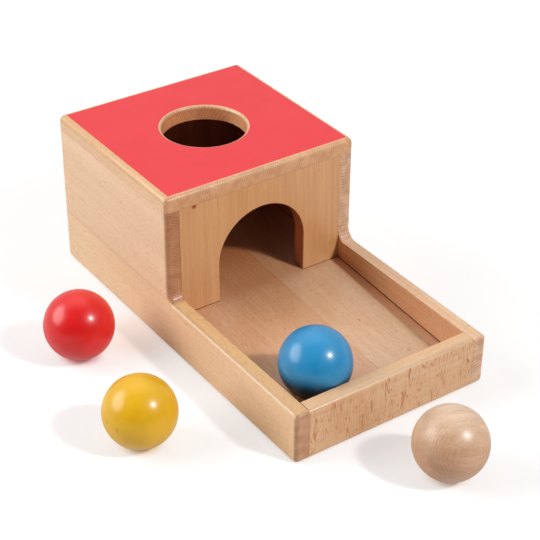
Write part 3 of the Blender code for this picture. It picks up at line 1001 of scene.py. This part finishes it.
def pale_stage():
    """A wide pale floor: it takes shadows and shows as white, with painted shade and painted coloured bounce
    light where things touch it, and a painted shadow beside the toy's left side.
    """
    bm = bmesh.new()
    bmesh.ops.create_grid(bm, x_segments=1, y_segments=1, size=FLOOR_HALF)
    ground = new_piece("studio_floor", bm)
    ground.location.z = -FLOOR_DROP
    made, tree, shader = new_material("pale floor")
    tree.nodes.remove(shader)
    seen = seen_directly(tree, node(tree, "LightPath").outputs)
    plain = node(tree, "BsdfDiffuse", {"Color": FLOOR_GREY}).outputs[0]
    open_sky = node(tree, "AmbientOcclusion", {"Distance": CONTACT_REACH}, samples=8).outputs["AO"]
    shade = mix(tree, span(tree, open_sky, 0.05, 0.40), CONTACT_SHADE, OPEN_SHADE)

    # Painted bounce light in the colour of each piece where it touches, and a painted shadow a little
    # further off beside the left side
    place = node(tree, "TexCoord").outputs["Object"]
    painted_bounce_and_shadow = WOOD_PAINTED_BOUNCE
    for ball, ball_bounce in BALL_PAINTED_BOUNCES:
        low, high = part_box(ball)
        under = ((low.x + high.x) / 2, (low.y + high.y) / 2, 0.0)
        painted_bounce_and_shadow = mix(tree, spot(tree, place, under, BALL_PAINTED_BOUNCE_REACH), painted_bounce_and_shadow, ball_bounce)
    painted_bounce_and_shadow = mix(tree, span(tree, open_sky, 0.05, 0.45), painted_bounce_and_shadow, WHITE)
    painted_bounce_and_shadow = mix(tree, spot(tree, place, SIDE_PAINTED_SHADOW_PLACE, SIDE_PAINTED_SHADOW_REACH), painted_bounce_and_shadow, SIDE_PAINTED_SHADOW, "MULTIPLY")
    shade = mix(tree, 1.0, shade, painted_bounce_and_shadow, "MULTIPLY")
    faint = node(tree, "BsdfDiffuse", {"Color": shade}).outputs[0]

    # The glow fills the floor up to white, more so far off; it fades out near contacts, which is painted
    # contact shade, and behind the toy it is painted light that washes out the toy's shadow
    glow = span(tree, open_sky, 0.05, 0.40, 0.0, 0.55)
    far = vector_maths(tree, "LENGTH", place)
    glow = plus(tree, glow, span(tree, far, 0.35, 1.5, 0.0, 0.55))
    behind = vector_maths(tree, "DOT_PRODUCT", place, (0.5, 1.0, 0.0))
    glow = plus(tree, glow, span(tree, behind, 0.09, 0.26, 0.0, 0.09))
    warm = mix(tree, 1.0, painted_bounce_and_shadow, GLOW_COLOUR, "MULTIPLY")
    glow = node(tree, "Emission", {"Color": warm, "Strength": glow}).outputs[0]
    white = node(tree, "AddShader", {0: faint, 1: glow}).outputs[0]
    both_ways = node(tree, "MixShader", {0: seen, 1: plain, 2: white}).outputs[0]
    tree.links.new(both_ways, tree.nodes["Material Output"].inputs["Surface"])
    ground.data.materials.append(made)
    ground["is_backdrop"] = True


LAMP_AIM = Vector((0.0, 0.12, 0.03))
KEY_FROM = (0.33, -0.67, 0.665)
KEY_COLOUR = (1.0, 0.985, 0.96)
SOFT_COLOUR = (1.0, 0.99, 0.98)


def soft_light(name, direction, upright, distance, width, height, watts, colour):
    """A lamp in a direction from the toy; upright is the direction of its height."""
    lamp = bpy.data.lights.new(name, "AREA")
    lamp.shape = "ELLIPSE"
    lamp.size = width
    lamp.size_y = height
    lamp.energy = watts
    lamp.color = colour
    made = bpy.data.objects.new(name, lamp)
    bpy.context.scene.collection.objects.link(made)
    away = Vector(direction).normalized()
    side = Vector(upright).cross(away).normalized()
    turn = Matrix((side, away.cross(side), away)).transposed().to_4x4()
    made.matrix_world = Matrix.Translation(LAMP_AIM + away * distance) @ turn


def world(strength, low):
    """A studio: white behind and above, dim on the side of the camera."""
    made = bpy.data.worlds.new("studio")
    made.use_nodes = True
    tree = made.node_tree
    background = tree.nodes["Background"]
    background.inputs["Color"].default_value = (*SOFT_COLOUR, 1.0)
    path = node(tree, "LightPath").outputs
    sky = node(tree, "TexCoord").outputs["Generated"]
    behind = vector_maths(tree, "DOT_PRODUCT", sky, (0.57, 0.82, 0.0))
    above = vector_maths(tree, "DOT_PRODUCT", sky, (0.0, 0.0, 0.9))
    bright = span(tree, plus(tree, behind, above), -0.3, 0.7, low, 1.0)
    mirrored = span(tree, behind, -0.25, 0.45, low, 0.75)
    mirrored = times(tree, mirrored, span(tree, above, 0.35, 0.80, 1.0, 1.9))
    glossy = times(tree, path["Is Glossy Ray"], mirrored)
    level = maths(tree, "MAXIMUM", glossy, times(tree, bright, strength))
    level = maths(tree, "MAXIMUM", level, seen_directly(tree, path))
    tree.links.new(level, background.inputs["Strength"])
    bpy.context.scene.world = made


def photo_camera():
    """The viewpoint of the photograph, as fitted to the toy's edges."""
    azimuth = math.radians(-34.8344)
    elevation = math.radians(33.2813)
    roll = math.radians(0.3447)
    target = Vector((0.016274, 0.147314, 0.0197))
    distance = 1.0207292
    focal_pixels = 1535.2568
    frame_pixels = 540
    sensor = 36.0
    toward = Vector((
        math.sin(azimuth) * math.cos(elevation),
        -math.cos(azimuth) * math.cos(elevation),
        math.sin(elevation),
    ))
    right = Vector((math.cos(azimuth), math.sin(azimuth), 0.0))
    up = toward.cross(right)
    right, up = (right * math.cos(roll) + up * math.sin(roll), up * math.cos(roll) - right * math.sin(roll))
    data = bpy.data.cameras.new("photo camera")
    data.sensor_width = sensor
    data.lens = sensor * focal_pixels / frame_pixels
    data.clip_start = 0.05
    made = bpy.data.objects.new("photo_camera", data)
    bpy.context.scene.collection.objects.link(made)
    turn = Matrix((right, up, toward)).transposed().to_4x4()
    made.matrix_world = Matrix.Translation(target + toward * distance) @ turn
    bpy.context.scene.camera = made


pale_stage()
soft_light("key", KEY_FROM, (0, 0, 1), 2.6, 0.24, 0.24, 38.0, KEY_COLOUR)
soft_light("key halo", KEY_FROM, (0, 0, 1), 2.62, 0.90, 0.90, 11.0, KEY_COLOUR)
soft_light(
    "left softbox", (-0.73, 0.47, 0.497), (0.686, 0.634, 0.358), 2.2, 1.45, 2.00, 41.0, SOFT_COLOUR
)
soft_light("overhead", (0.15, 0.45, 1.0), (0, 1, 0), 1.6, 1.4, 1.4, 2.0, SOFT_COLOUR)
world(0.28, 0.15)
photo_camera()
bpy.context.scene.view_settings.view_transform = "Standard"

({name: [list(corner) for corner in box] for name, box in
           (("cad", CAD_BOX), ("visual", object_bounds()))})
